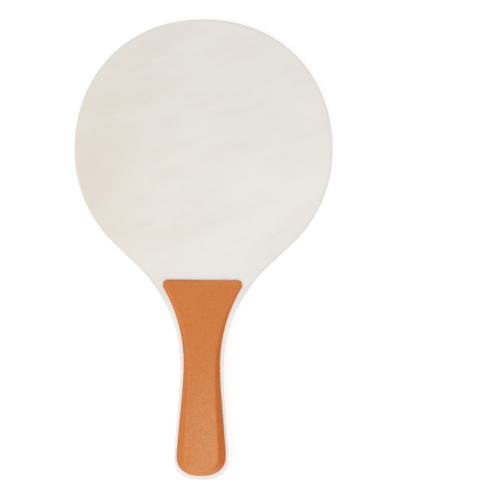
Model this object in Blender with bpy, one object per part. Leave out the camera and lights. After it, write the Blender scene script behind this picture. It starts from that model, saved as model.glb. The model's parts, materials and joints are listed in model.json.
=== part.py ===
"""A beach tennis racket: a five-ply wooden blade between two moulded grip shells.

The racket is drawn flat in the blade's own frame, in metres: X across, Y along the blade from the
butt to the crown of the head, Z through it from the middle of the core ply. A station is a place
along Y. An empty then lays the racket down as it rests on a table, front face up, on the back grip
and the crown, with the origin on the table under the middle of its length.
"""

import math

import bmesh
import bpy

# Blade outline
BLADE_LENGTH = 0.370
HEAD_WIDTH = 0.2073
CROWN_HEIGHT = 0.1054  # from the widest place of the head to its tip
CROWN_FULLNESS = 2.12  # exponent of the crown's oval: 2 is an ellipse, and more is squarer
SHOULDER_ANGLE = math.radians(46.55)  # between the straight shoulder and the axis
NECK_RADIUS = 0.1117
WAIST_WIDTH = 0.0346  # the narrowest place of the handle
WAIST_TURN = 0.024  # below the waist, the length over which the side turns out into its straight flare
BUTT_WIDTH = 0.0436
BUTT_TURN = 0.008  # above the butt's widest place, the length over which the flare ends
BUTT_DEPTH = 0.0176  # from the widest place of the butt to its end
BUTT_FULLNESS = 2.5

# Blade layers
FACE_VENEER = 0.0006
CROSSBAND = 0.0011
CORE_PLY = 0.0012
GLUE_LINE = 0.0001  # between neighbouring plies, and between the blade and each grip
ARRIS_RADIUS = 0.0005  # the sanded edge of each face veneer

# Grip outline, seen on the face of the blade
GRIP_NECK_STATION = 0.1605  # the straight edge that faces the head
GRIP_END_MARGIN = 0.0034  # bare wood beyond the butt end of the grip
GRIP_BUTT_MARGIN = 0.0021  # bare wood beside the grip, at the butt
GRIP_NECK_MARGIN = 0.0055  # and at the neck
MARGIN_EASE = 2.8  # how late the margin grows on its way from the butt to the neck
GRIP_BUTT_STATION = 0.019  # its widest place near the butt
GRIP_BUTT_FULLNESS = 2.3
NECK_CORNER_RADIUS = 0.0032
LEAST_CORNER_RADIUS = 0.0006  # of the levels further in

# Grip section
GRIP_BUTT_HEIGHT = 0.0083
GRIP_NECK_HEIGHT = 0.0022
SWELL_EASE = 1.5  # how late the grip thins on its way from the butt to the neck
EDGE_HEIGHT = 0.0014  # upright edge that stands on the wood
BEVEL_ANGLE = math.radians(50)  # of the long side bevels, from the face of the blade
NECK_BEVEL_WIDTH = 0.0048
BUTT_BEVEL_WIDTH = 0.003
CREST_RADIUS = 0.002  # soft edge between a bevel and the palm surface
CREST_LIMIT = 0.45  # the most of a narrow bevel that its crest takes

# Inside the grips
SHELL_WALL = 0.0016
NOSE_LENGTH = 0.022  # the thin neck end, which is solid
RIB_THICKNESS = 0.0012
RIB_PITCH = 0.014
BOSS_DIAMETER = 0.010
PIN_DIAMETER = 0.006
PIN_CLEARANCE = 0.0003  # all round a pin, in the blade and in its socket
PIN_END_GAP = 0.0005
PIN_TIP_CHAMFER = 0.0006
BUTT_PIN_STATION = 0.025
MIDDLE_PIN_STATION = 0.081
NECK_PIN_STATION = 0.123
PIN_STATIONS = (BUTT_PIN_STATION, MIDDLE_PIN_STATION, NECK_PIN_STATION)

# Steps along each curve
CROWN_STEPS = 24
CHEEK_STEPS = 12
NECK_STEPS = 12
FLARE_STEPS = 10
BUTT_STEPS = 10
GRIP_SIDE_STEPS = 22
GRIP_BUTT_STEPS = 9
CORNER_STEPS = 4
PIN_SIDES = 24

SHARP_ANGLE = math.radians(30)
OVERCUT = 0.001  # how far a cutter reaches past the face it opens
LEAN_STEP = 0.0005  # along the side of the handle, to find how far it leans

# Places that follow from the sizes above
PLIES = (
    ("back_face_veneer", FACE_VENEER),
    ("back_crossband", CROSSBAND),
    ("core_ply", CORE_PLY),
    ("front_crossband", CROSSBAND),
    ("front_face_veneer", FACE_VENEER),
)
BORE_RADIUS = PIN_DIAMETER / 2 + PIN_CLEARANCE
BLADE_THICKNESS = sum(thickness for _, thickness in PLIES) + GLUE_LINE * (len(PLIES) - 1)
GRIP_SEAT = BLADE_THICKNESS / 2 + GLUE_LINE

HEAD_RADIUS = HEAD_WIDTH / 2
HEAD_STATION = BLADE_LENGTH - CROWN_HEIGHT
CHEEK_END_STATION = HEAD_STATION - HEAD_RADIUS * math.sin(SHOULDER_ANGLE)
CHEEK_END_HALF_WIDTH = HEAD_RADIUS * math.cos(SHOULDER_ANGLE)
NECK_CENTRE = WAIST_WIDTH / 2 + NECK_RADIUS
NECK_REACH = NECK_RADIUS - (NECK_CENTRE - CHEEK_END_HALF_WIDTH) * math.cos(SHOULDER_ANGLE)
WAIST_STATION = CHEEK_END_STATION - NECK_REACH / math.sin(SHOULDER_ANGLE)
NECK_TOP_STATION = WAIST_STATION + NECK_RADIUS * math.sin(SHOULDER_ANGLE)


def blend(start, end, share):
    return start + (end - start) * share


def quarter_oval(half_width, depth, fullness, steps):
    """(across, along) points of a quarter oval, from its end on the axis to its widest place."""
    points = []
    for step in range(steps + 1):
        angle = math.pi / 2 * step / steps
        across = half_width * math.sin(angle) ** (2 / fullness)
        along = depth * math.cos(angle) ** (2 / fullness)
        points.append((across, along))
    return points


def oval_half_width(half_width, depth, fullness, along):
    share = min(abs(along) / depth, 1)
    return half_width * (1 - share**fullness) ** (1 / fullness)


def flare_half_width(distance):
    """Half the width below the waist: the side turns out, runs straight, and turns back at the butt."""
    reach = WAIST_STATION - BUTT_DEPTH
    growth = (BUTT_WIDTH - WAIST_WIDTH) / 2
    slope = growth / (reach - (WAIST_TURN + BUTT_TURN) / 2)
    if distance < WAIST_TURN:
        return WAIST_WIDTH / 2 + slope * distance**2 / (2 * WAIST_TURN)
    if distance > reach - BUTT_TURN:
        return BUTT_WIDTH / 2 - slope * (reach - distance) ** 2 / (2 * BUTT_TURN)
    return WAIST_WIDTH / 2 + slope * (distance - WAIST_TURN / 2)


def blade_half_width(station):
    """Half the width of the blade at a station, from the butt's oval up to the crown's."""
    if station > HEAD_STATION:
        return oval_half_width(HEAD_RADIUS, CROWN_HEIGHT, CROWN_FULLNESS, station - HEAD_STATION)
    if station > CHEEK_END_STATION:
        return math.sqrt(HEAD_RADIUS**2 - (HEAD_STATION - station) ** 2)
    if station > NECK_TOP_STATION:
        return CHEEK_END_HALF_WIDTH - (CHEEK_END_STATION - station) * math.tan(SHOULDER_ANGLE)
    if station > WAIST_STATION:
        return NECK_CENTRE - math.sqrt(NECK_RADIUS**2 - (station - WAIST_STATION) ** 2)
    if station > BUTT_DEPTH:
        return flare_half_width(WAIST_STATION - station)
    return oval_half_width(BUTT_WIDTH / 2, BUTT_DEPTH, BUTT_FULLNESS, BUTT_DEPTH - station)


def blade_outline():
    """Right half of the blade's outline as (across, station), from the crown's tip to the butt's end."""
    crown = quarter_oval(HEAD_RADIUS, CROWN_HEIGHT, CROWN_FULLNESS, CROWN_STEPS)
    butt = quarter_oval(BUTT_WIDTH / 2, BUTT_DEPTH, BUTT_FULLNESS, BUTT_STEPS)
    side_stations = []
    for step in range(1, CHEEK_STEPS + 1):
        side_stations.append(HEAD_STATION - HEAD_RADIUS * math.sin(SHOULDER_ANGLE * step / CHEEK_STEPS))
    for step in range(NECK_STEPS, 0, -1):
        side_stations.append(WAIST_STATION + NECK_RADIUS * math.sin(SHOULDER_ANGLE * step / NECK_STEPS))
    for step in range(FLARE_STEPS):
        side_stations.append(blend(WAIST_STATION, BUTT_DEPTH, step / FLARE_STEPS))
    outline = [(across, HEAD_STATION + along) for across, along in crown]
    outline += [(blade_half_width(station), station) for station in side_stations]
    outline += [(across, BUTT_DEPTH - along) for across, along in reversed(butt)]
    return outline


def inset_outline(outline, distance):
    """A half outline moved inwards, square to itself. Both of its ends lie on the axis."""
    before = [(-outline[1][0], outline[1][1])] + outline[:-1]
    after = outline[1:] + [(-outline[-2][0], outline[-2][1])]
    moved = []
    for (across, station), (x0, y0), (x1, y1) in zip(outline, before, after):
        length = math.hypot(x1 - x0, y1 - y0)
        on_axis = across == 0
        inwards_x = 0 if on_axis else (y1 - y0) / length
        inwards_y = (x0 - x1) / length
        moved.append((across + distance * inwards_x, station + distance * inwards_y))
    return moved


def add_object(name, mesh, parent, material=None):
    made = bpy.data.objects.new(name, mesh)
    bpy.context.scene.collection.objects.link(made)
    made.parent = parent
    if material:
        mesh.materials.append(material)
        mesh.shade_smooth()
        mesh.set_sharp_from_angle(angle=SHARP_ANGLE)
    return made


def finish_mesh(name, bm):
    bmesh.ops.recalc_face_normals(bm, faces=bm.faces)
    mesh = bpy.data.meshes.new(name)
    bm.to_mesh(mesh)
    bm.free()
    return mesh


def on_the_left(bm, vert):
    """The mirror image of a vertex, which is the vertex itself where it lies on the axis."""
    across, station, height = vert.co
    return vert if across == 0 else bm.verts.new((-across, station, height))


def lofted_mesh(name, rings):
    """A closed solid through rings that are alike on both sides of the axis.

    Each ring is its right half, from the crown end to the butt end. Its two caps are strips from
    the right side straight across to the left, so that no long face runs under another piece.
    """
    bm = bmesh.new()
    loops = []
    pairs = []
    for ring in rings:
        right = [bm.verts.new(point) for point in ring]
        left = [on_the_left(bm, vert) for vert in right]
        mirrored = [vert for vert in reversed(left) if vert not in right]
        loops.append(right + mirrored)
        pairs.append(list(zip(right, left)))
    for lower, upper in zip(loops, loops[1:]):
        for here in range(len(lower)):
            there = (here + 1) % len(lower)
            bm.faces.new((lower[here], lower[there], upper[there], upper[here]))
    for cap in (pairs[0], pairs[-1]):
        for (right, left), (next_right, next_left) in zip(cap, cap[1:]):
            corners = (right, next_right, next_left, left)
            bm.faces.new(dict.fromkeys(corners))
    return finish_mesh(name, bm)


def column_mesh(name, radius, base, end, tip_chamfer=0.0):
    """Round columns on the axis, one at each pin. Its base and end are heights that a station gives."""
    bm = bmesh.new()
    for station in PIN_STATIONS:
        low = base(station)
        high = end(station)
        levels = [(radius, low), (radius, high)]
        if tip_chamfer:
            levels[1] = (radius, high - math.copysign(tip_chamfer, high - low))
            levels.append((radius - tip_chamfer, high))
        rings = []
        for ring_radius, height in levels:
            ring = []
            for side in range(PIN_SIDES):
                angle = 2 * math.pi * side / PIN_SIDES
                across = ring_radius * math.cos(angle)
                along = station + ring_radius * math.sin(angle)
                ring.append(bm.verts.new((across, along, height)))
            rings.append(ring)
        for lower, upper in zip(rings, rings[1:]):
            for side in range(PIN_SIDES):
                after = (side + 1) % PIN_SIDES
                bm.faces.new((lower[side], lower[after], upper[after], upper[side]))
        bm.faces.new(rings[0])
        bm.faces.new(rings[-1])
    return finish_mesh(name, bm)


def box_mesh(name, boxes):
    """Upright boxes, each given as (x0, x1, y0, y1, z0, z1)."""
    bm = bmesh.new()
    for x0, x1, y0, y1, z0, z1 in boxes:
        made = bmesh.ops.create_cube(bm, size=1)
        for vert in made["verts"]:
            vert.co.x = x0 if vert.co.x < 0 else x1
            vert.co.y = y0 if vert.co.y < 0 else y1
            vert.co.z = z0 if vert.co.z < 0 else z1
    return finish_mesh(name, bm)


def add_cutter(mesh, parent):
    cutter = add_object(mesh.name, mesh, parent)
    cutter.hide_render = True
    cutter.display_type = "WIRE"
    return cutter


def add_boolean(target, operation, other):
    boolean = target.modifiers.new(other.name, "BOOLEAN")
    boolean.operation = operation
    boolean.solver = "EXACT"
    boolean.object = other


# The blade


def ply_rings(thickness, arris_below, arris_above):
    """Rings of one ply from its lower face to its upper, with a quarter round where it has an arris."""
    levels = []
    for eighth in (2, 1, 0):
        angle = math.pi / 4 * eighth
        inset = ARRIS_RADIUS * (1 - math.cos(angle))
        depth = ARRIS_RADIUS * (1 - math.sin(angle))
        levels.append((inset, depth))
    below = levels if arris_below else [(0.0, 0.0)]
    above = levels if arris_above else [(0.0, 0.0)]
    sections = [(inset, depth) for inset, depth in below]
    sections += [(inset, thickness - depth) for inset, depth in reversed(above)]
    outline = blade_outline()
    return [[(x, y, height) for x, y in inset_outline(outline, inset)] for inset, height in sections]


def make_blade(racket, face_wood, inner_wood):
    reach = BLADE_THICKNESS / 2 + OVERCUT
    holes = column_mesh("pin_holes", BORE_RADIUS, lambda station: -reach, lambda station: reach)
    hole_cutter = add_cutter(holes, racket)
    height = -BLADE_THICKNESS / 2
    for number, (name, thickness) in enumerate(PLIES):
        lowest = number == 0
        highest = number == len(PLIES) - 1
        material = face_wood if lowest or highest else inner_wood
        mesh = lofted_mesh(name, ply_rings(thickness, lowest, highest))
        ply = add_object(name, mesh, racket, material)
        ply.location.z = height
        add_boolean(ply, "DIFFERENCE", hole_cutter)
        height += thickness + GLUE_LINE


# The grips, drawn above the face that they stand on


def grip_height(station):
    share = min(max(station / GRIP_NECK_STATION, 0), 1)
    return blend(GRIP_BUTT_HEIGHT, GRIP_NECK_HEIGHT, share**SWELL_EASE)


def side_bevel_width(station):
    return (grip_height(station) - EDGE_HEIGHT) / math.tan(BEVEL_ANGLE)


def side_lean(station):
    """How far the side of the handle leans out from the axis, as an angle."""
    rise = blade_half_width(station + LEAN_STEP) - blade_half_width(station - LEAN_STEP)
    return math.atan2(rise, 2 * LEAN_STEP)


def grip_half_width(station):
    share = max(station / GRIP_NECK_STATION, 0)
    margin = blend(GRIP_BUTT_MARGIN, GRIP_NECK_MARGIN, share**MARGIN_EASE)
    return blade_half_width(station) - margin / math.cos(side_lean(station))


def outer_section(width, rise):
    """(inset, height) of each level of the grip's edge: the upright edge, the bevel and its crest."""
    slope = math.atan2(rise, width)
    crest = min(CREST_RADIUS * math.tan(slope / 2), CREST_LIMIT * math.hypot(width, rise))
    top = EDGE_HEIGHT + rise
    start = (width - crest * math.cos(slope), top - crest * math.sin(slope))
    end = (width + crest, top)
    middle = ((start[0] + 2 * width + end[0]) / 4, (start[1] + 3 * top) / 4)
    return [(0.0, 0.0), (0.0, EDGE_HEIGHT), start, middle, end]


def cavity_section(width, rise):
    """The same for the hollow, one wall inside the outer surface and open towards the blade."""
    slope = math.atan2(rise, width)
    knee = EDGE_HEIGHT - SHELL_WALL * math.tan((math.pi / 2 - slope) / 2)
    roof = EDGE_HEIGHT + rise - SHELL_WALL
    return [
        (SHELL_WALL, -OVERCUT),
        (SHELL_WALL, max(knee, 0.0)),
        (width + SHELL_WALL * math.tan(slope / 2), roof),
    ]


def grip_ring(section, level, neck_station):
    """Right half of one level of a grip, from its straight neck edge round to the butt's end."""

    def at(width, station):
        return section(width, grip_height(station) - EDGE_HEIGHT)[level]

    def half_width(station):
        inset = at(side_bevel_width(station), station)[0]
        return grip_half_width(station) - inset / math.cos(side_lean(station))

    neck_inset = at(NECK_BEVEL_WIDTH, neck_station)[0]
    butt_inset = at(BUTT_BEVEL_WIDTH, GRIP_END_MARGIN)[0]
    neck = neck_station - neck_inset
    lean = side_lean(neck)
    radius = max(NECK_CORNER_RADIUS - neck_inset, LEAST_CORNER_RADIUS)
    corner_reach = radius * math.cos(lean) / (1 - math.sin(lean))
    side_start = neck - corner_reach * math.cos(lean)

    ring = []
    for step in range(CORNER_STEPS):
        share = step / CORNER_STEPS
        angle = blend(math.pi / 2, -lean, share)
        across = half_width(neck) - corner_reach + radius * math.cos(angle)
        station = neck - radius + radius * math.sin(angle)
        width = blend(NECK_BEVEL_WIDTH, side_bevel_width(station), share)
        ring.append((across, station, at(width, station)[1]))
    for step in range(GRIP_SIDE_STEPS):
        station = blend(side_start, GRIP_BUTT_STATION, step / GRIP_SIDE_STEPS)
        ring.append((half_width(station), station, at(side_bevel_width(station), station)[1]))
    butt_half_width = half_width(GRIP_BUTT_STATION)
    butt_depth = GRIP_BUTT_STATION - GRIP_END_MARGIN - butt_inset
    butt = quarter_oval(butt_half_width, butt_depth, GRIP_BUTT_FULLNESS, GRIP_BUTT_STEPS)
    for across, along in reversed(butt):
        station = GRIP_BUTT_STATION - along
        width = blend(BUTT_BEVEL_WIDTH, side_bevel_width(station), across / butt_half_width)
        ring.append((across, station, at(width, station)[1]))
    return ring


def grip_rings(section, neck_station):
    levels = len(section(BUTT_BEVEL_WIDTH, GRIP_BUTT_HEIGHT - EDGE_HEIGHT))
    return [grip_ring(section, level, neck_station) for level in range(levels)]


def rib_stations():
    """A rib at every pin, and evenly spaced ones between and beyond them at about the rib pitch."""
    ends = (GRIP_END_MARGIN + BUTT_BEVEL_WIDTH,) + PIN_STATIONS + (GRIP_NECK_STATION - NOSE_LENGTH,)
    stations = []
    for number, (start, end) in enumerate(zip(ends, ends[1:])):
        spaces = max(round((end - start) / RIB_PITCH), 1)
        first = 1 if number == 0 else 0
        stations += [blend(start, end, space / spaces) for space in range(first, spaces)]
    return stations


def add_hollow(seat):
    """The space inside a grip, cut into pockets by the ribs and the bosses."""
    rings = grip_rings(cavity_section, GRIP_NECK_STATION - NOSE_LENGTH)
    hollow = add_cutter(lofted_mesh("hollow", rings), seat)
    half_width = grip_half_width(GRIP_NECK_STATION)
    half_rib = RIB_THICKNESS / 2
    low = -2 * OVERCUT
    high = GRIP_BUTT_HEIGHT + OVERCUT
    cross_ribs = []
    for station in rib_stations():
        cross_ribs.append((-half_width, half_width, station - half_rib, station + half_rib, low, high))
    spine_rib = (-half_rib, half_rib, 0, GRIP_NECK_STATION, low, high)
    bosses = column_mesh("bosses", BOSS_DIAMETER / 2, lambda station: low, lambda station: high)
    add_boolean(hollow, "DIFFERENCE", add_cutter(box_mesh("cross_ribs", cross_ribs), seat))
    add_boolean(hollow, "DIFFERENCE", add_cutter(box_mesh("spine_rib", [spine_rib]), seat))
    add_boolean(hollow, "DIFFERENCE", add_cutter(bosses, seat))
    return hollow


def socket_depth(station):
    """From the seat up to the inside of the grip's wall, at the thinner side of a pin's bore."""
    return grip_height(station + BORE_RADIUS) - SHELL_WALL


def pin_end(station):
    """Where a pin of the back grip ends in the front grip's socket, below the back grip's own seat."""
    return -(2 * GRIP_SEAT + socket_depth(station) - PIN_END_GAP)


def add_grip(name, seat, material):
    """A grip shell drawn above its seat, with the pockets cut from below."""
    grip = add_object(name, lofted_mesh(name, grip_rings(outer_section, GRIP_NECK_STATION)), seat, material)
    add_boolean(grip, "DIFFERENCE", add_hollow(seat))
    return grip


def add_seat(name, racket, height, turn):
    """An empty on a face of the blade, whose own Z points away from the wood."""
    seat = add_object(name, None, racket)
    seat.location.z = height
    seat.rotation_euler.y = turn
    return seat


def make_grips(racket, plastic):
    front_seat = add_seat("front_seat", racket, GRIP_SEAT, 0)
    front_grip = add_grip("front_grip", front_seat, plastic)
    sockets = column_mesh("sockets", BORE_RADIUS, lambda station: -OVERCUT, socket_depth)
    add_boolean(front_grip, "DIFFERENCE", add_cutter(sockets, front_seat))

    back_seat = add_seat("back_seat", racket, -GRIP_SEAT, math.pi)
    back_grip = add_grip("back_grip", back_seat, plastic)
    pins = column_mesh("pins", PIN_DIAMETER / 2, lambda station: OVERCUT, pin_end, PIN_TIP_CHAMFER)
    add_boolean(back_grip, "UNION", add_cutter(pins, back_seat))


# Colours, and the way the racket lies


def linear(channel):
    """One channel of a colour, from its 0 to 255 value on a screen."""
    share = channel / 255
    return share / 12.92 if share <= 0.04045 else ((share + 0.055) / 1.055) ** 2.4


def add_material(name, red, green, blue, roughness):
    material = bpy.data.materials.new(name)
    material.use_nodes = True
    shader = material.node_tree.nodes["Principled BSDF"]
    shader.inputs["Base Color"].default_value = (linear(red), linear(green), linear(blue), 1)
    shader.inputs["Roughness"].default_value = roughness
    shader.inputs["Metallic"].default_value = 0
    return material


def lay_down(racket):
    """Tilts the racket until the crown's lower edge and the back grip both touch the table."""
    crown_station = BLADE_LENGTH - ARRIS_RADIUS
    tilt = 0
    for _, station, height in grip_ring(outer_section, -1, GRIP_NECK_STATION):
        drop = GRIP_SEAT + height - BLADE_THICKNESS / 2
        tilt = max(tilt, math.atan2(drop, crown_station - station))
    racket.rotation_euler.x = -tilt
    racket.location.y = -BLADE_LENGTH / 2 * math.cos(tilt)
    racket.location.z = crown_station * math.sin(tilt) + BLADE_THICKNESS / 2 * math.cos(tilt)


def main():
    for stale in list(bpy.data.objects):
        bpy.data.objects.remove(stale)
    racket = add_object("racket", None, None)
    face_wood = add_material("face_wood", 230, 226, 219, 0.6)
    inner_wood = add_material("inner_wood", 222, 212, 196, 0.7)
    grip_plastic = add_material("grip_plastic", 209, 128, 73, 0.5)
    make_blade(racket, face_wood, inner_wood)
    make_grips(racket, grip_plastic)
    lay_down(racket)


main()
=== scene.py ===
"""Dresses the beach racket: pale veneer faces, sanded ply edges and leather-grained orange grips."""

import json
import math

import bmesh
import bpy
import numpy as np
from mathutils import Matrix, Vector


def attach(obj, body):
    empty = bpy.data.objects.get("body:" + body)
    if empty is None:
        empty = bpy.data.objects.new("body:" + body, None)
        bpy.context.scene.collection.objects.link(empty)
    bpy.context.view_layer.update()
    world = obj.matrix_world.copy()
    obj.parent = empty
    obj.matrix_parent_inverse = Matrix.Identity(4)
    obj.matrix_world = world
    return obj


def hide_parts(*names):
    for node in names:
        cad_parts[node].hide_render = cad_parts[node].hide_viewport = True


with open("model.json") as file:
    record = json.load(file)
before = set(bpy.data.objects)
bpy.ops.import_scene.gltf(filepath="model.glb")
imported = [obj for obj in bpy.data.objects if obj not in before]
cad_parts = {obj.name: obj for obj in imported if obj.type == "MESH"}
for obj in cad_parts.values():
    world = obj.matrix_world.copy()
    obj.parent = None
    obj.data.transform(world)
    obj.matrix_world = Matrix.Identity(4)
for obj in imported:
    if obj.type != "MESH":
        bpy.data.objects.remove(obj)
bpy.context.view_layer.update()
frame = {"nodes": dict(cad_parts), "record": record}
cad = frame["nodes"]
mounts = {mount["name"]: mount for mount in frame["record"]["mounts"]}

# The blade lies flat on its bench, with Y to the crown and the origin midway between its striking faces
FRONT_FACE = Vector(mounts["front_striking_face"]["pos_m"])
BACK_FACE = Vector(mounts["back_striking_face"]["pos_m"])
FACE_UP = Vector(mounts["front_striking_face"]["axis"])
LEAN = math.atan2(FACE_UP.y, FACE_UP.z)
BENCH = Matrix.Translation((FRONT_FACE + BACK_FACE) / 2) @ Matrix.Rotation(-LEAN, 4, "X")
TURNED = Matrix.Rotation(math.pi, 4, "Y")

# Bench tools. Lengths are in metres
FAR = 1.0  # where the caliper starts to feel, well outside the racket
LEAST_WIDTH = 0.0004  # the least half width of a cut, at a rounded end
HAIR = 0.000001  # places closer than this count as level
SMOOTHING = 0.5  # how far one pass moves a point towards its neighbours
CRISP_ANGLE = math.radians(40)  # an edge sharper than this stays crisp
SELECT_MODES = {"verts": "VERT", "edges": "EDGE", "faces": "FACE"}

# Veneer sheets. Lengths are in metres
SHEET_CUTS = 230  # steps from butt to crown
GAUGE_SHARE = 0.1  # how far up a sheet's thickness its outline is felt, below the arris
ARRIS_RADIUS = 0.0005
ARRIS_STEPS = 4
ARRIS_BAND = 0.0006  # the outermost ring of the face, painted as dark as the shaded arris
RIM_SHADE_BAND = 0.0016  # the ring inside it, over which the painted rim shade fades out
FLAT_NORMAL = 0.9999  # a face that looks up more than this is flat
STRIP_CORNERS = 8  # the broad face has more corners than this

# Grips. Lengths are in metres
GRIP_CUTS = 90  # steps from butt to neck
GRIP_COLUMNS = 26  # strips from side to side
RIM_CLEARANCE = 0.00003  # how far the moulding stays inside the CAD's edge
SKIN_VOXEL = 0.00034
SMOOTHING_PASSES = 3
FOOT_BAND = 0.0005  # how far up the upright edge its width is felt, and where the grain fades in
FLAT_WITHIN = 0.00002  # what lies no higher above the foot is the underside
SEAM_BAND = (0.0013, 0.0021)  # above the foot, where the upright edge turns into the bevel
CREST_TURN = (0.0008, 0.006)  # how sharply the skin turns where a crest starts and where it is full
PALM_LEAN = math.radians(3)  # skin that leans less is palm
BEVEL_LEAN = math.radians(42)  # skin that leans more is flank
EASED_BUTT = (0.055, 0.012)  # from the butt's end, where the rubbing starts and where it is full
EASED_HEIGHTS = (0.0014, 0.0028)  # the same, above the foot
EASING_PASSES = 40

# Leather grain pressed into the grips. Sizes, depths and the shift are in metres
PEBBLE_SIZE = 0.0021
PEBBLE_DEPTH = 0.00014
PEBBLE_WANDER = 0.9  # how far the creases stray, as a share of the size
PEBBLE_CREASE = 0.22  # how wide the creases are, as a share of the size
WRINKLE_SIZE = 0.0075
WRINKLE_DEPTH = 0.00010
WRINKLE_WANDER = 1.1
WRINKLE_CREASE = 0.07
WRINKLE_SHIFT = 0.3
WANDERS_PER_SIZE = 0.7
WRINKLED_PATCHES = 70  # per metre
WRINKLED_FROM = (0.45, 0.6)  # the level of the patches where wrinkles start and where they are full

# Veneer grain: it crosses the blade and rises to the right
GRAIN_RISE = math.radians(19)
END_GRAIN_SLIMNESS = 22

# Fine reliefs that the finishes draw, in metres
STREAK_RELIEF = 0.00006
PORE_RELIEF = 0.00003
SAWN_RELIEF = 0.00010
SKIN_RELIEF = 0.00002

# Places on the faces, in metres from the middle of the racket. Each pair is where a change starts and ends
SIDE_SLANT = 0.4  # the border between the warm and the pale side leans by this much across for one along
FAR_LEFT = (-0.13, -0.04)
NEAR_LEFT = (-0.03, 0.02)
TAN_SIDE = (0.06, -0.08)
CROWN_FADE = (0.03, 0.17)
HANDLE_FADE = (-0.03, -0.06)

# Veneer colours
PALE_WOOD = (0.788, 0.771, 0.741, 1)
TAN_WOOD = (0.777, 0.711, 0.645, 1)
COOL_WOOD = (0.768, 0.752, 0.700, 1)
MAUVE_WOOD = (0.757, 0.712, 0.692, 1)
WARM_WOOD = (0.730, 0.668, 0.584, 1)
CROWN_PAINTED_SHADE = (0.948, 0.936, 0.943, 1)
DARK_STREAK = (0.700, 0.662, 0.604, 1)
PORE = (0.600, 0.540, 0.450, 1)
FIBRE = (0.660, 0.610, 0.540, 1)
RIM_PAINTED_SHADE = (0.700, 0.690, 0.650, 1)
HANDLE_PAINTED_LIGHT = (0.855, 0.843, 0.820, 1)

# Edge colours
VENEER_EDGE = (0.690, 0.605, 0.480, 1)
PALE_EDGE = (0.700, 0.610, 0.480, 1)
BROWN_EDGE = (0.620, 0.520, 0.385, 1)
FIBRE_END = (0.420, 0.320, 0.210, 1)

# Places on the grips, in metres from the middle of the racket
BUTT_FADE = (-0.055, -0.175)
BUTT_SIDE = (-0.018, 0.004)
FLANK_CHANGE = (0.012, -0.012)
ROUNDED_END = (-0.171, -0.177)
NECK_EDGE = (-0.0292, -0.0284)
SHADED_SEAM = (0.004, -0.004)

# Grip colours
PALM_ORANGE = (0.620, 0.189, 0.034, 1)
PALM_PAINTED_SHEEN = (0.668, 0.269, 0.090, 1)
RIGHT_FLANK_PAINTED_SHADE = (0.668, 0.152, 0.004, 1)
LEFT_FLANK_PAINTED_SHEEN = (0.620, 0.183, 0.028, 1)
END_FLANK_PAINTED_SHEEN = (0.668, 0.236, 0.062, 1)
CREST_PAINTED_HIGHLIGHT = (0.710, 0.240, 0.045, 1)
MOTTLE = (0.530, 0.125, 0.008, 1)
CREASE_PAINTED_SHADE = (0.400, 0.090, 0.006, 1)
NECK_PAINTED_LIGHT = (0.640, 0.225, 0.060, 1)
SEAM_PAINTED_SHADE = (0.260, 0.080, 0.012, 1)
GRIP_SPECULAR = 0.38

# Studio: sizes and places in metres, power in watts
TABLE_SIZE = 12
TABLE_CHALK = (0.82, 0.82, 0.82, 1)
TABLE_HAZE = (0.18, 0.18, 0.18, 1)
TABLE_GLOW = 0.84
WHITE = (1, 1, 1, 1)
ROOM_LEVEL = 0.54
ROOM_BRIGHTER_TOWARDS = (-0.06, -0.05, 0.35)
KEY_PLACE = (-1.2, -1.3, 3.0)
KEY_SIZE = 1.6
KEY_POWER = 40
LOW_PLACE = (0.9, -1.2, -3.0)
LOW_SIZE = 2.4
LOW_POWER = 78

# Camera: its height and the size of a pixel on the blade are in metres
CAMERA_HEIGHT = 2.2
CAMERA_REACH = 50  # how far away it still sees
PIXEL = 0.0008035
FRAME_PIXELS = 500
CAMERA_ROLL = math.radians(0.42)
AXIS_LEFT_OF_FRAME = 47.3  # pixels from the middle of the frame to the racket's axis
RACKET_ABOVE_FRAME = 0.46  # pixels from the middle of the frame up to the racket's middle


def deselect_all():
    for item in list(bpy.context.selected_objects):
        item.select_set(False)


def take(piece):
    """Makes one piece the selected and active one."""
    deselect_all()
    piece.select_set(True)
    bpy.context.view_layer.objects.active = piece


def pick(piece, kind, wanted):
    """In edit mode, selects the piece's verts, edges or faces for which wanted says yes, and nothing else."""
    bpy.ops.mesh.select_mode(type=SELECT_MODES[kind])
    bpy.ops.mesh.select_all(action="DESELECT")
    mesh = bmesh.from_edit_mesh(piece.data)
    for element in getattr(mesh, kind):
        if wanted(element):
            element.select_set(True)
    mesh.select_flush_mode()
    bmesh.update_edit_mesh(piece.data)


def apply_modifier(piece, kind, **settings):
    """Adds a modifier to a piece and applies it."""
    take(piece)
    modifier = piece.modifiers.new(kind.lower(), kind)
    for name, value in settings.items():
        setattr(modifier, name, value)
    bpy.ops.object.modifier_apply(modifier=modifier.name)


def on_bench(node, bench):
    """A CAD node's vertices as they lie on a bench."""
    inverse = bench.inverted()
    return np.array([inverse @ vertex.co for vertex in node.data.vertices])


def caliper(node, bench, station, height):
    """A CAD node's half width at a station and height on its bench, felt from the right."""
    start = bench @ Vector((FAR, station, height))
    touched, place, _, _ = node.ray_cast(start, bench.to_3x3() @ Vector((-1, 0, 0)))
    return (bench.inverted() @ place).x if touched else 0.0


def stations_along(low, high, cuts):
    """Stations from low to high, closer together at both ends, where the outline turns across."""
    middle, reach = (low + high) / 2, (high - low) / 2
    return [middle - reach * math.cos(math.pi * cut / cuts) for cut in range(cuts + 1)]


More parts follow.
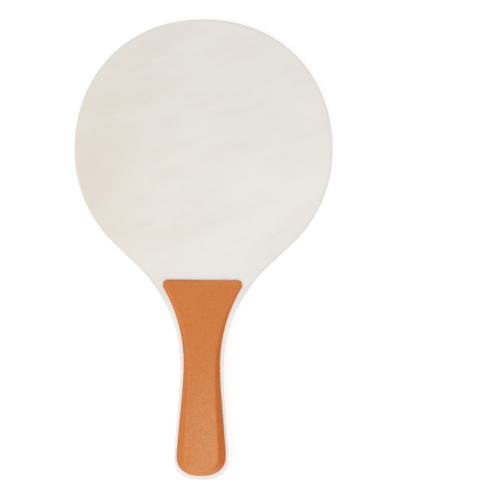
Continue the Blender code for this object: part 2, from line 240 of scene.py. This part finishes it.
def pulled_sheet(name, node, bench, stations, gauge_height, margin):
    """A flat sheet pulled along from its butt end, one cut at a time, each as wide as the CAD is there."""
    widths = [max(caliper(node, bench, s, gauge_height) - margin, LEAST_WIDTH) for s in stations]
    deselect_all()
    bpy.ops.mesh.primitive_plane_add(size=2)
    sheet = bpy.context.object
    sheet.name = name
    bpy.ops.object.mode_set(mode="EDIT")
    first_step = stations[1] - stations[0]
    bpy.ops.transform.resize(value=(widths[0], first_step / 2, 1), center_override=(0, 0, 0))
    bpy.ops.transform.translate(value=(0, stations[0] + first_step / 2, 0))
    pick(sheet, "verts", lambda v: v.co.y > stations[0] + first_step / 2)
    widen = (widths[1] / widths[0], 1, 1)
    bpy.ops.transform.resize(value=widen, center_override=(0, stations[1], 0))
    for cut in range(2, len(stations)):
        step = stations[cut] - stations[cut - 1]
        widen = (widths[cut] / widths[cut - 1], 1, 1)
        bpy.ops.mesh.extrude_region_move(TRANSFORM_OT_translate={"value": (0, step, 0)})
        bpy.ops.transform.resize(value=widen, center_override=(0, stations[cut], 0))
    bpy.ops.object.mode_set(mode="OBJECT")
    return sheet


def thicken(sheet, low, high):
    """Gives a flat sheet its thickness, from low to high."""
    take(sheet)
    bpy.ops.object.mode_set(mode="EDIT")
    bpy.ops.mesh.select_all(action="SELECT")
    bpy.ops.transform.translate(value=(0, 0, low))
    bpy.ops.mesh.extrude_region_move(TRANSFORM_OT_translate={"value": (0, 0, high - low)})
    bpy.ops.mesh.select_all(action="SELECT")
    bpy.ops.mesh.normals_make_consistent(inside=False)
    bpy.ops.object.mode_set(mode="OBJECT")


def set_down(piece, bench):
    """Puts a piece made on its bench in its place on the racket, and keeps that place in its mesh."""
    piece.matrix_world = bench
    take(piece)
    bpy.ops.object.transform_apply(location=True, rotation=True, scale=True)


def mark(piece, name, values):
    """Keeps one number per vertex, for the piece's leather or finish to read."""
    attribute = piece.data.attributes.new(name, "FLOAT", "POINT")
    attribute.data.foreach_set("value", np.asarray(values, np.float32))


def vertex_array(piece, what="co"):
    """The place of each vertex, or its normal, as one row of three numbers."""
    count = len(piece.data.vertices)
    values = np.zeros(count * 3, np.float32)
    piece.data.vertices.foreach_get(what, values)
    return values.reshape(count, 3).astype(float)


def share_of(values, low, high):
    """How far each value is on its way from low to high, from 0 to 1."""
    return np.clip((values - low) / (high - low), 0, 1)


def outward_turn(piece):
    """How sharply the skin turns outwards at each vertex, from its neighbours' normals."""
    places, normals = vertex_array(piece), vertex_array(piece, "normal")
    ends = np.zeros(len(piece.data.edges) * 2, np.int32)
    piece.data.edges.foreach_get("vertices", ends)
    first, second = ends.reshape(-1, 2).T
    turn = 1 - (normals[first] * normals[second]).sum(axis=1)
    outwards = ((normals[second] - normals[first]) * (places[second] - places[first])).sum(axis=1) > 0
    turn = np.where(outwards, turn, 0)
    total = np.bincount(first, turn, len(places)) + np.bincount(second, turn, len(places))
    neighbours = np.bincount(ends, minlength=len(places))
    return total / np.maximum(neighbours, 1)


def model_face_sheet(name, node, bench):
    """A face veneer: cut from its outline, with its outer arris rounded and a band inside it where painted
    rim shade fades out.
    """
    places = on_bench(node, bench)
    low, high = places[:, 2].min(), places[:, 2].max()
    gauge_height = low + (high - low) * GAUGE_SHARE
    stations = stations_along(places[:, 1].min(), places[:, 1].max(), SHEET_CUTS)
    sheet = pulled_sheet(name, node, bench, stations, gauge_height, 0)
    take(sheet)
    bpy.ops.object.mode_set(mode="EDIT")
    bpy.ops.mesh.select_all(action="SELECT")
    bpy.ops.mesh.dissolve_faces()
    bpy.ops.object.mode_set(mode="OBJECT")
    thicken(sheet, low, high)
    bpy.ops.object.mode_set(mode="EDIT")
    nearly_top = high - HAIR
    pick(sheet, "edges", lambda e: all(v.co.z > nearly_top for v in e.verts))
    bpy.ops.mesh.bevel(offset=ARRIS_RADIUS, segments=ARRIS_STEPS, affect="EDGES")
    pick(sheet, "faces", lambda f: f.normal.z > FLAT_NORMAL and len(f.verts) > STRIP_CORNERS)
    bpy.ops.mesh.inset(thickness=ARRIS_BAND)
    bpy.ops.mesh.inset(thickness=RIM_SHADE_BAND)
    bpy.ops.object.mode_set(mode="OBJECT")
    bpy.ops.object.shade_smooth_by_angle(angle=CRISP_ANGLE)
    # The rim mark is 1 away from the broad flat face, where the finish paints shade along the rim
    flat = max(sheet.data.polygons, key=lambda f: f.area if f.normal.z > 0 else 0)
    rim = np.ones(len(sheet.data.vertices))
    rim[list(flat.vertices)] = 0
    mark(sheet, "rim", rim)
    mark(sheet, "wall", share_of(vertex_array(sheet)[:, 2], high - ARRIS_RADIUS / 3, high - ARRIS_RADIUS))
    set_down(sheet, bench)
    return sheet


def lies_across(edge):
    """Whether an edge runs straight from side to side."""
    first, second = (vert.co for vert in edge.verts)
    return abs(first.y - second.y) < HAIR and abs(first.z - second.z) < HAIR


def ease_butt(grip, butt):
    """Rubs the crests down softer and softer towards the butt, and leaves the foot as it is."""
    places = vertex_array(grip)
    rubbed = share_of(places[:, 1], butt + EASED_BUTT[0], butt + EASED_BUTT[1])
    rubbed = rubbed * share_of(places[:, 2], *EASED_HEIGHTS)
    group = grip.vertex_groups.new(name="butt")
    for index in np.flatnonzero(rubbed):
        group.add([int(index)], float(rubbed[index]), "REPLACE")
    apply_modifier(grip, "SMOOTH", factor=SMOOTHING, iterations=EASING_PASSES, vertex_group="butt")


def model_grip(name, node, bench):
    """A grip moulding: pulled and drawn to the CAD's relief, evened out, and grained like leather."""
    places = on_bench(node, bench)
    # Both grips stand equally high. The back one's pins reach below its foot, so the front one's foot is read
    foot = on_bench(cad["front_grip"], BENCH)[:, 2].min()
    seat = bench @ Matrix.Translation((0, 0, foot))
    butt, neck = places[:, 1].min() + RIM_CLEARANCE, places[:, 1].max() - RIM_CLEARANCE
    stations = stations_along(butt, neck, GRIP_CUTS)
    grip = pulled_sheet(name, node, seat, stations, FOOT_BAND, RIM_CLEARANCE)
    above_the_relief = 2 * places[:, 2].max()
    thicken(grip, 0, above_the_relief)
    bpy.ops.object.mode_set(mode="EDIT")
    pick(grip, "edges", lies_across)
    bpy.ops.mesh.subdivide(number_cuts=GRIP_COLUMNS - 1)
    bpy.ops.object.mode_set(mode="OBJECT")
    top = grip.vertex_groups.new(name="top")
    top.add([v.index for v in grip.data.vertices if v.co.z > HAIR], 1.0, "REPLACE")
    grip.matrix_world = seat
    apply_modifier(grip, "SHRINKWRAP", target=node, wrap_method="PROJECT", use_project_z=True,
                   use_positive_direction=False, use_negative_direction=True, vertex_group="top")
    apply_modifier(grip, "REMESH", mode="VOXEL", voxel_size=SKIN_VOXEL, use_smooth_shade=True)
    bpy.ops.object.mode_set(mode="EDIT")
    pick(grip, "faces", lambda f: max(v.co.z for v in f.verts) < FLAT_WITHIN)
    bpy.ops.mesh.dissolve_faces()
    bpy.ops.object.mode_set(mode="OBJECT")
    apply_modifier(grip, "SMOOTH", factor=SMOOTHING, iterations=SMOOTHING_PASSES)
    ease_butt(grip, butt)
    heights = vertex_array(grip)[:, 2]
    mark(grip, "skin", share_of(heights, FOOT_BAND / 2, FOOT_BAND * 3 / 2))
    mark(grip, "seam", share_of(heights, SEAM_BAND[1], SEAM_BAND[0]))
    upright = vertex_array(grip, "normal")[:, 2]
    mark(grip, "palm", share_of(upright, math.cos(BEVEL_LEAN), math.cos(PALM_LEAN)))
    mark(grip, "crest", share_of(outward_turn(grip), *CREST_TURN) * share_of(heights, *SEAM_BAND))
    set_down(grip, seat)
    apply_leather(grip)
    return grip


def add_node(tree, kind, settings=None, inputs=None):
    """A node in a tree, with its settings and the values of its unlinked sockets."""
    node = tree.nodes.new(kind)
    for name, value in (settings or {}).items():
        setattr(node, name, value)
    for socket, value in (inputs or {}).items():
        node.inputs[socket].default_value = value
    return node


def feed(tree, node, socket, value):
    """Links a value into a node's socket, or sets it there if it is a plain number or colour."""
    if isinstance(value, bpy.types.NodeSocket):
        tree.links.new(value, node.inputs[socket])
    else:
        node.inputs[socket].default_value = value


def combine(tree, operation, first, second):
    """One sum of two values in a tree, such as MULTIPLY."""
    node = add_node(tree, "ShaderNodeMath", {"operation": operation})
    feed(tree, node, 0, first)
    feed(tree, node, 1, second)
    return node.outputs[0]


def crease_pattern(tree, place, size, wander, width, shift):
    """1 on the pebbles of a leather grain and 0 in the creases between them."""
    noise = add_node(tree, "ShaderNodeTexNoise", inputs={"Scale": WANDERS_PER_SIZE / size, "Detail": 3})
    centred = add_node(tree, "ShaderNodeVectorMath", {"operation": "ADD"}, {1: (-0.5, -0.5, -0.5)})
    scaled = add_node(tree, "ShaderNodeVectorMath", {"operation": "SCALE"}, {"Scale": wander * size})
    warped = add_node(tree, "ShaderNodeVectorMath", {"operation": "ADD"})
    moved = add_node(tree, "ShaderNodeVectorMath", {"operation": "ADD"}, {1: (shift, shift, 0)})
    cells = add_node(tree, "ShaderNodeTexVoronoi",
                     {"voronoi_dimensions": "2D", "feature": "DISTANCE_TO_EDGE"},
                     {"Scale": 1 / size, "Randomness": 1})
    profile = add_node(tree, "ShaderNodeMapRange", {"interpolation_type": "SMOOTHSTEP"},
                       {"From Min": 0, "From Max": width})
    feed(tree, noise, "Vector", place)
    feed(tree, centred, 0, noise.outputs["Color"])
    feed(tree, scaled, 0, centred.outputs[0])
    feed(tree, warped, 0, place)
    feed(tree, warped, 1, scaled.outputs[0])
    feed(tree, moved, 0, warped.outputs[0])
    feed(tree, cells, "Vector", moved.outputs[0])
    feed(tree, profile, "Value", cells.outputs["Distance"])
    return profile.outputs["Result"]


def apply_leather(grip):
    """Presses a leather grain into the skin: pebbles between creases, and longer wrinkles in places."""
    tree = bpy.data.node_groups.new("leather", "GeometryNodeTree")
    tree.interface.new_socket("Geometry", in_out="INPUT", socket_type="NodeSocketGeometry")
    tree.interface.new_socket("Geometry", in_out="OUTPUT", socket_type="NodeSocketGeometry")
    source = add_node(tree, "NodeGroupInput")
    result = add_node(tree, "NodeGroupOutput")
    place = add_node(tree, "GeometryNodeInputPosition").outputs[0]
    normal = add_node(tree, "GeometryNodeInputNormal").outputs[0]
    skin = add_node(tree, "GeometryNodeInputNamedAttribute", {"data_type": "FLOAT"}, {"Name": "skin"})
    pebbles = crease_pattern(tree, place, PEBBLE_SIZE, PEBBLE_WANDER, PEBBLE_CREASE, 0)
    wrinkles = crease_pattern(tree, place, WRINKLE_SIZE, WRINKLE_WANDER, WRINKLE_CREASE, WRINKLE_SHIFT)
    patches = add_node(tree, "ShaderNodeTexNoise", inputs={"Scale": WRINKLED_PATCHES, "Detail": 1})
    where = add_node(tree, "ShaderNodeMapRange", {"interpolation_type": "SMOOTHSTEP"},
                     {"From Min": WRINKLED_FROM[0], "From Max": WRINKLED_FROM[1]})
    feed(tree, patches, "Vector", place)
    feed(tree, where, "Value", patches.outputs["Fac"])
    pebble_drop = combine(tree, "MULTIPLY", combine(tree, "SUBTRACT", pebbles, 1), PEBBLE_DEPTH)
    wrinkle_drop = combine(tree, "MULTIPLY", combine(tree, "SUBTRACT", wrinkles, 1), WRINKLE_DEPTH)
    wrinkle_drop = combine(tree, "MULTIPLY", wrinkle_drop, where.outputs["Result"])
    drop = combine(tree, "ADD", pebble_drop, wrinkle_drop)
    drop = combine(tree, "MULTIPLY", drop, skin.outputs["Attribute"])
    depth = combine(tree, "DIVIDE", drop, -(PEBBLE_DEPTH + WRINKLE_DEPTH))
    keep = add_node(tree, "GeometryNodeStoreNamedAttribute", {"data_type": "FLOAT", "domain": "POINT"},
                    {"Name": "crease"})
    push = add_node(tree, "ShaderNodeVectorMath", {"operation": "SCALE"})
    move = add_node(tree, "GeometryNodeSetPosition")
    feed(tree, keep, "Geometry", source.outputs[0])
    feed(tree, keep, "Value", depth)
    feed(tree, move, "Geometry", keep.outputs[0])
    feed(tree, push, 0, normal)
    feed(tree, push, "Scale", drop)
    feed(tree, move, "Offset", push.outputs[0])
    feed(tree, result, 0, move.outputs[0])
    apply_modifier(grip, "NODES", node_group=tree)


class Finish:
    """One material, whose nodes are added by name and linked as they come. Scales are per metre."""

    def __init__(self, name):
        self.material = bpy.data.materials.new(name)
        self.material.use_nodes = True
        self.tree = self.material.node_tree
        self.shader = self.tree.nodes["Principled BSDF"]
        self.place = add_node(self.tree, "ShaderNodeTexCoord").outputs["Object"]

    def set(self, socket, value):
        """Gives one of the shader's sockets its value."""
        feed(self.tree, self.shader, socket, value)

    def noise(self, vector, scale, detail=2, roughness=0.5, distortion=0.0):
        node = add_node(self.tree, "ShaderNodeTexNoise",
                        inputs={"Scale": scale, "Detail": detail, "Roughness": roughness,
                                "Distortion": distortion})
        feed(self.tree, node, "Vector", vector)
        return node.outputs["Fac"]

    def grain(self, turn, slimness, scale, detail=2, roughness=0.5, distortion=0.0):
        """A noise drawn out along the grain, so many times slimmer than long."""
        mapping = add_node(self.tree, "ShaderNodeMapping", {"vector_type": "TEXTURE"},
                           {"Rotation": (0, 0, turn), "Scale": (1, 1 / slimness, 1 / slimness)})
        feed(self.tree, mapping, "Vector", self.place)
        return self.noise(mapping.outputs[0], scale, detail, roughness, distortion)

    def ramp(self, value, low, high, out_low=0.0, out_high=1.0):
        """A soft change from out_low to out_high, while the value goes from low to high."""
        node = add_node(self.tree, "ShaderNodeMapRange", {"interpolation_type": "SMOOTHSTEP"},
                        {"From Min": low, "From Max": high, "To Min": out_low, "To Max": out_high})
        feed(self.tree, node, "Value", value)
        return node.outputs["Result"]

    def mix(self, share, first, second, blend="MIX"):
        node = add_node(self.tree, "ShaderNodeMix", {"data_type": "RGBA", "blend_type": blend})
        feed(self.tree, node, 0, share)
        feed(self.tree, node, 6, first)
        feed(self.tree, node, 7, second)
        return node.outputs[2]

    def times(self, first, second):
        return combine(self.tree, "MULTIPLY", first, second)

    def plus(self, first, second):
        return combine(self.tree, "ADD", first, second)

    def less(self, first, second):
        return combine(self.tree, "SUBTRACT", first, second)

    def attribute(self, name):
        return add_node(self.tree, "ShaderNodeAttribute", {"attribute_name": name}).outputs["Fac"]

    def axis(self, name):
        node = add_node(self.tree, "ShaderNodeSeparateXYZ")
        feed(self.tree, node, 0, self.place)
        return node.outputs[name]

    def bump(self, height, distance, normal=None):
        """A relief so many metres deep, laid over another one if that is given."""
        node = add_node(self.tree, "ShaderNodeBump", inputs={"Strength": 1, "Distance": distance})
        feed(self.tree, node, "Height", height)
        if normal is not None:
            feed(self.tree, node, "Normal", normal)
        return node.outputs[0]

    def cut_fibres(self, turn):
        """Fine streaks where a sawn edge runs along the grain, and dots where it crosses it."""
        return self.grain(turn, END_GRAIN_SLIMNESS, 60, 4, 0.65)

    def sawn_edge(self, fibres, wood):
        return self.mix(self.ramp(fibres, 0.5, 0.75, 0, 0.6), wood, FIBRE_END)


def warm_side(finish, slanted, along):
    """How warm the veneer is: most on its far left, in clouds, and less towards the crown."""
    clouds = finish.grain(GRAIN_RISE, 3.2, 11, 4, 0.6, 0.3)
    side = finish.plus(finish.ramp(slanted, *FAR_LEFT, 0.72, 0), finish.ramp(slanted, *NEAR_LEFT, 0.28, 0))
    warmth = finish.times(finish.ramp(clouds, 0.25, 0.60, 0.6, 1.2), side)
    return finish.times(warmth, finish.ramp(along, *CROWN_FADE, 1, 0.3))


def veneer_material():
    """Pale sanded veneer: soft bands and faint streaks along the grain, fine pores, painted shade on rim and
    crown, painted light on the handle.
    """
    finish = Finish("face_veneer_finish")
    # Patterns along the grain, from broad bands to fine fibres
    tan = finish.grain(GRAIN_RISE, 5.0, 15, distortion=0.3)
    cool = finish.grain(GRAIN_RISE, 1.8, 21, distortion=0.4)
    mauve = finish.grain(GRAIN_RISE, 2.8, 17, distortion=0.4)
    streaks = finish.grain(GRAIN_RISE, 8, 30, 4, 0.65, 0.35)
    pores = finish.grain(GRAIN_RISE, 16, 110, 2, 0.6)
    fibres = finish.grain(GRAIN_RISE, 18, 420, 3, 0.7)
    figured = finish.ramp(finish.grain(GRAIN_RISE, 1.6, 20), 0.46, 0.66, 0.35, 1)
    along = finish.axis("Y")
    slanted = finish.less(finish.axis("X"), finish.times(along, SIDE_SLANT))

    # Broad tones first, then the fine marks, the painted rim shade, the handle's painted light and the sawn
    # edge
    tan_share = finish.times(finish.ramp(tan, 0.46, 0.66), finish.ramp(slanted, *TAN_SIDE, 0.15, 0.55))
    tone = finish.mix(tan_share, PALE_WOOD, TAN_WOOD)
    tone = finish.mix(finish.ramp(cool, 0.48, 0.66, 0, 0.4), tone, COOL_WOOD)
    tone = finish.mix(finish.ramp(mauve, 0.52, 0.68, 0, 0.4), tone, MAUVE_WOOD)
    tone = finish.mix(warm_side(finish, slanted, along), tone, WARM_WOOD)
    # Painted shade: the veneer is darkened towards the crown
    tone = finish.mix(finish.ramp(along, *CROWN_FADE, 0, 0.75), tone, CROWN_PAINTED_SHADE, "MULTIPLY")
    dark_streaks = finish.times(figured, finish.ramp(streaks, 0.46, 0.72, 0, 0.28))
    tone = finish.mix(dark_streaks, tone, DARK_STREAK)
    tone = finish.mix(finish.ramp(pores, 0.62, 0.76, 0, 0.2), tone, PORE)
    tone = finish.mix(finish.ramp(fibres, 0.50, 0.72, 0, 0.36), tone, FIBRE)
    # Painted shade along the rim, standing in for the shaded arris
    tone = finish.mix(finish.times(finish.attribute("rim"), 0.5), tone, RIM_PAINTED_SHADE)
    # Painted light: the wood is paler towards the handle, lifting the shade beside the grips
    tone = finish.mix(finish.ramp(along, *HANDLE_FADE, 0, 0.8), tone, HANDLE_PAINTED_LIGHT)
    edge = finish.sawn_edge(finish.cut_fibres(GRAIN_RISE), VENEER_EDGE)
    finish.set("Base Color", finish.mix(finish.attribute("wall"), tone, edge))

    finish.set("Roughness", finish.ramp(streaks, 0.3, 0.7, 0.46, 0.60))
    relief = finish.bump(streaks, STREAK_RELIEF)
    finish.set("Normal", finish.bump(finish.ramp(pores, 0.6, 0.78, 1, 0), PORE_RELIEF, relief))
    return finish.material


def ply_edge_material(name, turn):
    """Sanded ply edge: streaks where the grain runs past, and dark dots where it ends."""
    finish = Finish(name)
    fibres = finish.cut_fibres(turn)
    bands = finish.grain(turn, 5, 30)
    wood = finish.mix(finish.ramp(bands, 0.35, 0.65), PALE_EDGE, BROWN_EDGE)
    finish.set("Base Color", finish.sawn_edge(fibres, wood))
    finish.set("Roughness", finish.ramp(fibres, 0.3, 0.7, 0.6, 0.8))
    finish.set("Normal", finish.bump(fibres, SAWN_RELIEF))
    return finish.material


def grip_material():
    """Orange grained plastic: paler on the palm with painted sheen, painted shade in the creases, and a
    painted highlight along its crests.
    """
    finish = Finish("grip_finish")
    mottle = finish.noise(finish.place, 330, 3, 0.6)
    drift = finish.noise(finish.place, 28)
    fine = finish.noise(finish.place, 2600, 3, 0.6)
    crease = finish.attribute("crease")
    crest = finish.attribute("crest")
    across = finish.axis("X")
    along = finish.axis("Y")

    # Painted sheen pales the palm towards its butt and its right side, and the two flanks differ
    painted_sheen = finish.times(finish.ramp(along, *BUTT_FADE), finish.ramp(drift, 0.2, 0.55, 0.8, 1.1))
    painted_sheen = finish.times(painted_sheen, finish.ramp(across, *BUTT_SIDE, 0.4, 1))
    plateau = finish.mix(painted_sheen, PALM_ORANGE, PALM_PAINTED_SHEEN)
    # The flanks are lit and shaded copies: painted shade on the right, painted sheen on the left and at the
    # rounded end
    flank = finish.mix(finish.ramp(across, *FLANK_CHANGE), RIGHT_FLANK_PAINTED_SHADE, LEFT_FLANK_PAINTED_SHEEN)
    flank = finish.mix(finish.ramp(along, *ROUNDED_END), flank, END_FLANK_PAINTED_SHEEN)
    tone = finish.mix(finish.attribute("palm"), flank, plateau)
    # A painted highlight on the crests, mottling, painted shade in the creases, then painted light at the
    # neck and painted shade at the seam
    tone = finish.mix(finish.times(crest, 0.5), tone, CREST_PAINTED_HIGHLIGHT)
    tone = finish.mix(finish.ramp(mottle, 0.35, 0.7, 0, 0.30), tone, MOTTLE)
    # Painted shade in the creases of the grain
    tone = finish.mix(finish.times(crease, 0.36), tone, CREASE_PAINTED_SHADE)
    # Painted light: paler along the neck edge, lifting its shade
    tone = finish.mix(finish.ramp(along, *NECK_EDGE, 0, 0.4), tone, NECK_PAINTED_LIGHT)
    # Painted shade at the seam above the foot, stronger on the right side
    seam = finish.times(finish.attribute("seam"), finish.ramp(across, *SHADED_SEAM, 0.03, 0.3))
    finish.set("Base Color", finish.mix(seam, tone, SEAM_PAINTED_SHADE))

    polish = finish.times(crest, 0.12)
    finish.set("Roughness", finish.less(finish.ramp(crease, 0, 0.6, 0.44, 0.62), polish))
    finish.set("Normal", finish.bump(fine, SKIN_RELIEF))
    finish.set("Specular IOR Level", GRIP_SPECULAR)
    return finish.material


def dress(piece, material):
    """Gives a piece one material on all its faces."""
    piece.data.materials.clear()
    piece.data.materials.append(material)


def dress_node(node, material):
    """Gives a carried-over CAD node its finish."""
    for slot in node.material_slots:
        slot.material = material


def mix_shaders(tree, share, first, second):
    """The first shader where share is 0, and the second where it is 1."""
    node = add_node(tree, "ShaderNodeMixShader")
    for socket, value in enumerate((share, first, second)):
        feed(tree, node, socket, value)
    return node.outputs[0]


def background_rays(tree):
    """1 for the rays that see the white background: from the camera, off a gloss and through glass."""
    rays = add_node(tree, "ShaderNodeLightPath")
    seen = rays.outputs["Is Camera Ray"]
    for kind in ("Is Glossy Ray", "Is Transmission Ray"):
        seen = combine(tree, "MAXIMUM", seen, rays.outputs[kind])
    return seen


def stage_floor():
    """A white table that keeps the shadow and lets the underside be seen from below."""
    deselect_all()
    bpy.ops.mesh.primitive_plane_add(size=TABLE_SIZE)
    floor = bpy.context.object
    floor.name = "table"
    material = bpy.data.materials.new("white_table")
    material.use_nodes = True
    tree = material.node_tree
    tree.nodes.clear()
    out = add_node(tree, "ShaderNodeOutputMaterial")
    chalk = add_node(tree, "ShaderNodeBsdfDiffuse", inputs={"Color": TABLE_CHALK})
    haze = add_node(tree, "ShaderNodeBsdfDiffuse", inputs={"Color": TABLE_HAZE})
    glow = add_node(tree, "ShaderNodeEmission", inputs={"Strength": TABLE_GLOW})
    clear = add_node(tree, "ShaderNodeBsdfTransparent")
    rays = add_node(tree, "ShaderNodeLightPath")
    facing = add_node(tree, "ShaderNodeNewGeometry")
    bright = add_node(tree, "ShaderNodeAddShader")
    feed(tree, bright, 0, haze.outputs[0])
    feed(tree, bright, 1, glow.outputs[0])
    lit = mix_shaders(tree, background_rays(tree), chalk.outputs[0], bright.outputs[0])
    let_through = combine(tree, "MAXIMUM", facing.outputs["Backfacing"], rays.outputs["Is Shadow Ray"])
    feed(tree, out, "Surface", mix_shaders(tree, let_through, lit, clear.outputs[0]))
    dress(floor, material)


def studio_world():
    """A white studio, brightest overhead and a little on the left, that the camera sees as plain white."""
    world = bpy.data.worlds.new("studio")
    bpy.context.scene.world = world
    world.use_nodes = True
    tree = world.node_tree
    tree.nodes.clear()
    out = add_node(tree, "ShaderNodeOutputWorld")
    direction = add_node(tree, "ShaderNodeTexCoord")
    upward = add_node(tree, "ShaderNodeVectorMath", {"operation": "DOT_PRODUCT"}, {1: ROOM_BRIGHTER_TOWARDS})
    level = add_node(tree, "ShaderNodeMath", {"operation": "ADD", "use_clamp": True}, {1: ROOM_LEVEL})
    room = add_node(tree, "ShaderNodeBackground", inputs={"Color": WHITE})
    white = add_node(tree, "ShaderNodeBackground", inputs={"Color": WHITE, "Strength": 1})
    feed(tree, upward, 0, direction.outputs["Generated"])
    feed(tree, level, 0, upward.outputs["Value"])
    feed(tree, room, "Strength", level.outputs[0])
    feed(tree, out, "Surface", mix_shaders(tree, background_rays(tree), room.outputs[0], white.outputs[0]))


def soft_lamp(name, place, size, power):
    """A square soft box that looks at the racket."""
    lamp = bpy.data.lights.new(name, "AREA")
    lamp.shape = "SQUARE"
    lamp.size = size
    lamp.energy = power
    box = bpy.data.objects.new(name, lamp)
    bpy.context.scene.collection.objects.link(box)
    box.location = place
    box.rotation_euler = (-Vector(place)).to_track_quat("-Z", "Y").to_euler()
    box.visible_camera = False


def photo_camera():
    """A long lens straight above, a little to the racket's right, as the photograph was taken."""
    camera = bpy.data.cameras.new("camera")
    camera.type = "PERSP"
    camera.clip_end = CAMERA_REACH
    field = PIXEL * FRAME_PIXELS
    camera.lens = camera.sensor_width * CAMERA_HEIGHT / field
    holder = bpy.data.objects.new("camera", camera)
    bpy.context.scene.collection.objects.link(holder)
    across = Vector((math.cos(CAMERA_ROLL), math.sin(CAMERA_ROLL), 0))
    upward = Vector((-math.sin(CAMERA_ROLL), math.cos(CAMERA_ROLL), 0))
    aim = across * AXIS_LEFT_OF_FRAME * PIXEL - upward * RACKET_ABOVE_FRAME * PIXEL
    holder.location = aim + Vector((0, 0, CAMERA_HEIGHT + FRONT_FACE.z))
    holder.rotation_euler = (0, 0, CAMERA_ROLL)
    bpy.context.scene.camera = holder


def main():
    front_sheet = model_face_sheet("front_veneer_sheet", cad["front_face_veneer"], BENCH)
    back_sheet = model_face_sheet("back_veneer_sheet", cad["back_face_veneer"], BENCH @ TURNED)
    front_moulding = model_grip("front_grip_moulding", cad["front_grip"], BENCH)
    back_moulding = model_grip("back_grip_moulding", cad["back_grip"], BENCH @ TURNED)
    veneer = veneer_material()
    grip = grip_material()
    for piece, material, slot, node in (
        (front_sheet, veneer, "face_veneer", "front_face_veneer"),
        (back_sheet, veneer, "face_veneer", "back_face_veneer"),
        (front_moulding, grip, "grip", "front_grip"),
        (back_moulding, grip, "grip", "back_grip"),
    ):
        dress(piece, material)
        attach(piece, "root")
        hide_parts(node)
    crossband = ply_edge_material("crossband_edge", GRAIN_RISE + math.pi / 2)
    core = ply_edge_material("core_edge", GRAIN_RISE)
    dress_node(cad["front_crossband"], crossband)
    dress_node(cad["back_crossband"], crossband)
    dress_node(cad["core_ply"], core)
    stage_floor()
    studio_world()
    soft_lamp("key", KEY_PLACE, KEY_SIZE, KEY_POWER)
    soft_lamp("light_from_below", LOW_PLACE, LOW_SIZE, LOW_POWER)
    photo_camera()
    bpy.context.scene.view_settings.view_transform = "Standard"


main()
